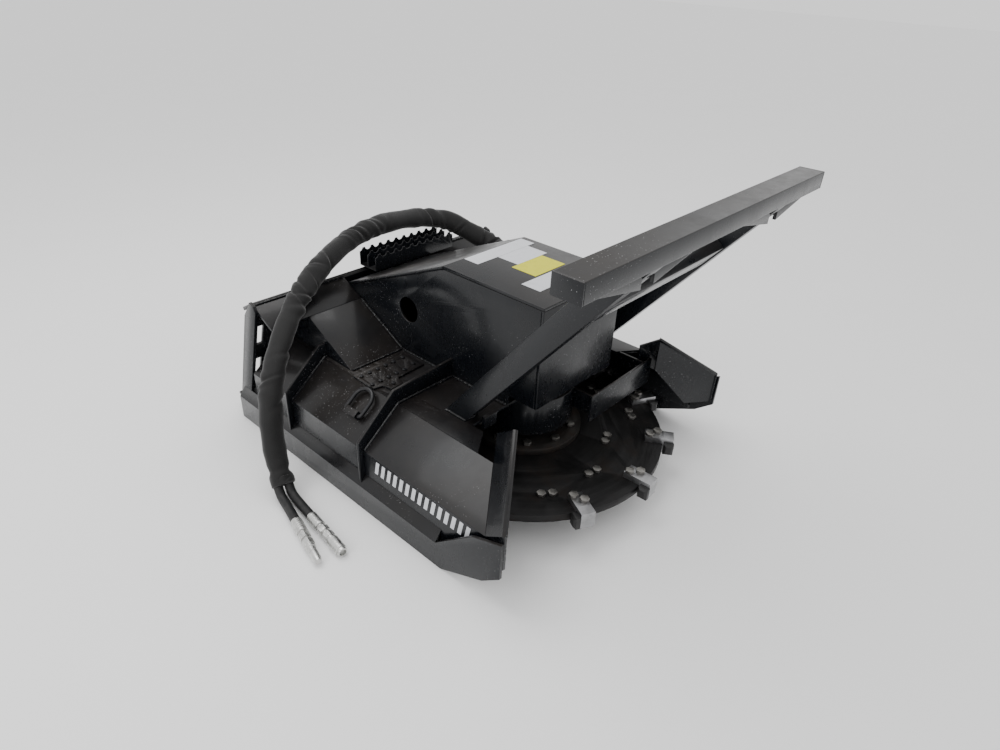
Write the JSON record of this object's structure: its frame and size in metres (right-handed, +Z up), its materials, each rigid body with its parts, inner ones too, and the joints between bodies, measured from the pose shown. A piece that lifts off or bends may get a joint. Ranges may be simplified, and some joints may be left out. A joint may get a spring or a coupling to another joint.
{
  "type": "stump grinder attachment",
  "caption": "Flat-disc stump grinder attachment for a skid-steer loader: toothed disc under a welded steel deck with a push bar and coupling plate.",
  "frame": {"origin": "on the ground, at the centre of the width, straight below the lower rear corner of the coupling plate", "axes": "+X to the right across the width as the loader driver sees it, +Y back towards the loader, +Z up; the skids stand on z = 0"},
  "size_m": [1.4506, 1.5418, 1.032],
  "materials": {
    "black_paint": "glossy black paint over welded plate",
    "ground_steel": "ground steel",
    "seal_rubber": "matt black rubber",
    "disc_steel": "dark machined plate with worn paint",
    "zinc_bolt": "zinc plated, dull",
    "black_bolt": "painted over with the deck",
    "holder_steel": "bare forged steel",
    "carbide": "dark sintered carbide",
    "motor_iron": "black painted casting",
    "hose_rubber": "matt black hose",
    "sleeve_fabric": "wrinkled black woven sleeve",
    "zinc_fitting": "bright zinc plating"
  },
  "bodies": {
    "frame": {"mount_plate": "black_paint", "upper_hook": "black_paint", "lower_lip": "black_paint", "plate_ear_left": "black_paint", "plate_ear_right": "black_paint", "top_flange": "black_paint", "step_tread": "black_paint", "deck_plate": "black_paint", "side_panel_left": "black_paint", "side_panel_right": "black_paint", "skid_left": "black_paint", "skid_right": "black_paint", "rear_ribs": "black_paint", "front_ribs": "black_paint", "tower_braces": "black_paint", "tower_side_left": "black_paint", "tower_side_right": "black_paint", "tower_top": "black_paint", "tower_back": "black_paint", "tower_front": "black_paint", "push_bar": "black_paint", "bar_end_caps": "black_paint", "arm_left": "black_paint", "arm_right": "black_paint", "cross_member": "black_paint", "bar_gussets": "black_paint", "front_flare_left": "black_paint", "front_flare_right": "black_paint", "bearing_housing": "black_paint", "spindle_bearings": "ground_steel", "tower_floor": "black_paint", "spindle_seal": "seal_rubber", "hydraulic_motor": "motor_iron", "motor_bolts": "zinc_bolt", "motor_lines": "hose_rubber", "hose_gland": "seal_rubber", "deck_cover": "black_paint", "cover_bolts": "black_bolt", "ring_bracket": "black_paint", "front_guard": "black_paint", "guard_stays": "black_paint", "deck_bar": "black_paint", "hose_sleeve": "sleeve_fabric", "hose_a": "hose_rubber", "hose_b": "hose_rubber", "hose_ferrules": "zinc_fitting", "hose_adapters": "zinc_fitting", "coupler_male": "zinc_fitting", "coupler_female": "zinc_fitting"},
    "rotor": {"spindle": "ground_steel", "cutter_disc": "disc_steel", "hub_flange": "disc_steel", "hub_bolts": "zinc_bolt", "tooth_holders": "holder_steel", "carbide_teeth": "carbide", "tooth_bolts": "zinc_bolt", "face_cutters": "holder_steel", "face_cutter_bolts": "zinc_bolt"},
    "ring": {"lifting_ring": "black_bolt"},
    "collar": {"locking_collar": "zinc_fitting"}
  },
  "joints": [
    {"name": "disc_spin", "type": "hinge", "parent": "frame", "child": "rotor", "pos_m": [0, -0.905, 0.25], "axis": [0, 0, 1], "continuous": true},
    {"name": "ring_swing", "type": "hinge", "parent": "frame", "child": "ring", "pos_m": [-0.52193, -0.624, 0.27469], "axis": [0, -1, 0], "range_deg": [0, 150]},
    {"name": "collar_slide", "type": "slide", "parent": "frame", "child": "collar", "axis": [0.1203, 0.9927, 0], "range_m": [0, 0.008], "stiffness_N_per_m": 1500, "springref_m": -0.003}
  ]
}
